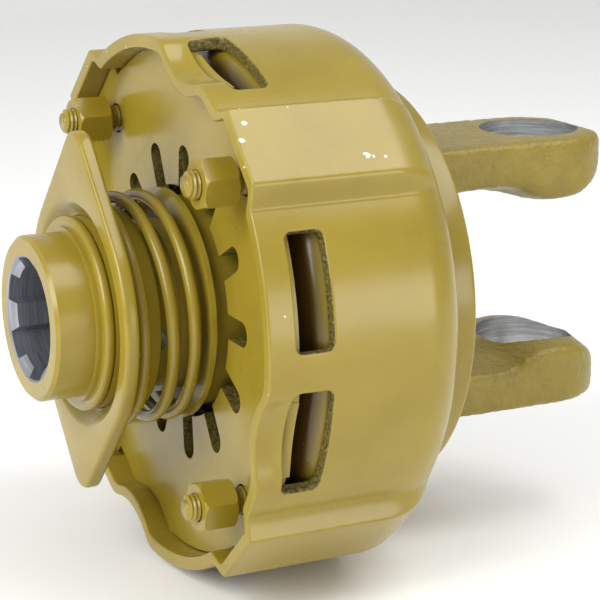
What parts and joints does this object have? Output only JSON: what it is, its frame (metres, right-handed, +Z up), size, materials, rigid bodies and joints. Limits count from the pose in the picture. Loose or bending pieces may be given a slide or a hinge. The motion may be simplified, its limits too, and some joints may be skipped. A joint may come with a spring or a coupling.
{
  "type": "torque limiter",
  "caption": "Friction torque limiter for a drive shaft: splined quick-lock hub with sprung pull collar, pot housing with slotted disc spring and relief nuts, forked flange yoke.",
  "frame": {"origin": "centre of the splined bore at the hub's nose face", "axes": "+X along the shaft axis from the nose to the yoke, +Z up through the upper yoke ear"},
  "size_m": [0.1855, 0.1562, 0.1562],
  "materials": {
    "gold_paint": "satin mustard gold paint on steel",
    "bare_steel": "bare turned steel",
    "polished_steel": "ground ball steel",
    "friction_lining": "matt pressed friction lining",
    "bronze": "sintered bronze"
  },
  "bodies": {
    "hub_group": {"hub": "gold_paint", "snap_ring": "bare_steel", "stop_ring": "gold_paint", "coil_spring": "gold_paint", "spring_seat": "gold_paint", "driver_disc_front": "bare_steel", "driver_disc_rear": "bare_steel"},
    "housing_group": {"housing": "gold_paint", "flange_yoke": "gold_paint", "hub_bush": "bronze", "disc_spring": "gold_paint", "pressure_plate": "gold_paint", "intermediate_disc": "bare_steel", "backing_plate": "bare_steel", "stud_1": "gold_paint", "stud_2": "gold_paint", "stud_3": "gold_paint", "stud_4": "gold_paint", "friction_disc_1": "friction_lining", "friction_disc_2": "friction_lining", "friction_disc_3": "friction_lining", "friction_disc_4": "friction_lining"},
    "collar_group": {"pull_collar": "gold_paint", "lock_sleeve": "bare_steel"},
    "ball_1": {"lock_ball_1": "polished_steel"},
    "ball_2": {"lock_ball_2": "polished_steel"},
    "ball_3": {"lock_ball_3": "polished_steel"},
    "nut_1_group": {"nut_1": "gold_paint"},
    "nut_2_group": {"nut_2": "gold_paint"},
    "nut_3_group": {"nut_3": "gold_paint"},
    "nut_4_group": {"nut_4": "gold_paint"}
  },
  "joints": [
    {"name": "clutch_slip", "type": "hinge", "parent": "hub_group", "child": "housing_group", "pos_m": [0.07, 0, 0], "axis": [1, 0, 0], "continuous": true},
    {"name": "collar_slide", "type": "slide", "parent": "hub_group", "child": "collar_group", "axis": [1, 0, 0], "range_m": [0, 0.0065], "stiffness_N_per_m": 1500, "springref_m": -0.015, "deforming": ["coil_spring"]},
    {"name": "ball_1_lift", "type": "slide", "parent": "hub_group", "child": "ball_1", "axis": [0, 0.1736, 0.9848], "range_m": [0, 0.00215]},
    {"name": "ball_2_lift", "type": "slide", "parent": "hub_group", "child": "ball_2", "axis": [0, -0.9397, -0.342], "range_m": [0, 0.00215]},
    {"name": "ball_3_lift", "type": "slide", "parent": "hub_group", "child": "ball_3", "axis": [0, 0.766, -0.6428], "range_m": [0, 0.00215]},
    {"name": "nut_1_turn", "type": "hinge", "parent": "housing_group", "child": "nut_1_group", "pos_m": [0.0372, 0.04396, 0.04665], "axis": [1, 0, 0], "range_deg": [-1080, 1080]},
    {"name": "nut_2_turn", "type": "hinge", "parent": "housing_group", "child": "nut_2_group", "pos_m": [0.0372, -0.04665, 0.04396], "axis": [1, 0, 0], "range_deg": [-1080, 1080]},
    {"name": "nut_3_turn", "type": "hinge", "parent": "housing_group", "child": "nut_3_group", "pos_m": [0.0372, -0.04396, -0.04665], "axis": [1, 0, 0], "range_deg": [-1080, 1080]},
    {"name": "nut_4_turn", "type": "hinge", "parent": "housing_group", "child": "nut_4_group", "pos_m": [0.0372, 0.04665, -0.04396], "axis": [1, 0, 0], "range_deg": [-1080, 1080]}
  ],
  "couplings": [
    {"joint": "ball_1_lift", "follows": "collar_slide", "ratio": 0.33},
    {"joint": "ball_2_lift", "follows": "collar_slide", "ratio": 0.33},
    {"joint": "ball_3_lift", "follows": "collar_slide", "ratio": 0.33}
  ]
}
